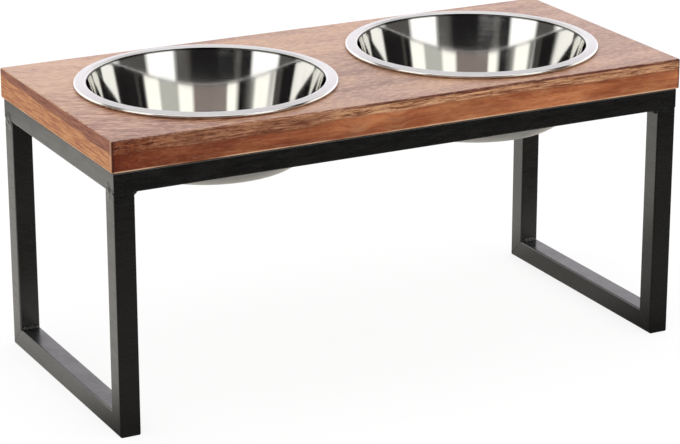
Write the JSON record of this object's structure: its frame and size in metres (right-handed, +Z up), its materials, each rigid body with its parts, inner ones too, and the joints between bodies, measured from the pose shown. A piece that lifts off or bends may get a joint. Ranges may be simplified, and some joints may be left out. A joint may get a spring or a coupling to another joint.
{
  "type": "elevated dog feeder",
  "caption": "Raised pet feeder: solid wood top with drop-in stainless steel bowls on a frame welded from black square steel tube.",
  "frame": {"origin": "on the floor under the centre of the wood top", "axes": "+X along the length of the top towards the right bowl, +Y across it towards the back, +Z up"},
  "size_m": [0.56, 0.258, 0.2693],
  "materials": {
    "oiled_hardwood": "satin oil over fine grain",
    "stainless_steel": "satin flange, polished inside",
    "black_lacquered_steel": "semi-gloss clear black lacquer",
    "zinc_plated_steel": "bright zinc"
  },
  "bodies": {
    "stand": {"wood_top": "oiled_hardwood", "front_rail": "black_lacquered_steel", "back_rail": "black_lacquered_steel", "left_rail": "black_lacquered_steel", "right_rail": "black_lacquered_steel", "leg_front_left": "black_lacquered_steel", "leg_front_right": "black_lacquered_steel", "leg_back_left": "black_lacquered_steel", "leg_back_right": "black_lacquered_steel", "foot_rail_left": "black_lacquered_steel", "foot_rail_right": "black_lacquered_steel", "corner_tab_front_left": "black_lacquered_steel", "corner_tab_front_right": "black_lacquered_steel", "corner_tab_back_left": "black_lacquered_steel", "corner_tab_back_right": "black_lacquered_steel", "centre_tab_front": "black_lacquered_steel", "centre_tab_back": "black_lacquered_steel", "wood_screws": "zinc_plated_steel", "ring_corner_welds": "black_lacquered_steel", "leg_top_welds": "black_lacquered_steel", "foot_corner_welds": "black_lacquered_steel", "tab_welds": "black_lacquered_steel"},
    "left_bowl": {"bowl_left": "stainless_steel"},
    "right_bowl": {"bowl_right": "stainless_steel"}
  },
  "joints": [
    {"name": "left_bowl_lift", "type": "slide", "parent": "stand", "child": "left_bowl", "axis": [0, 0, 1], "range_m": [0, 0.08]},
    {"name": "right_bowl_lift", "type": "slide", "parent": "stand", "child": "right_bowl", "axis": [0, 0, 1], "range_m": [0, 0.08]}
  ]
}
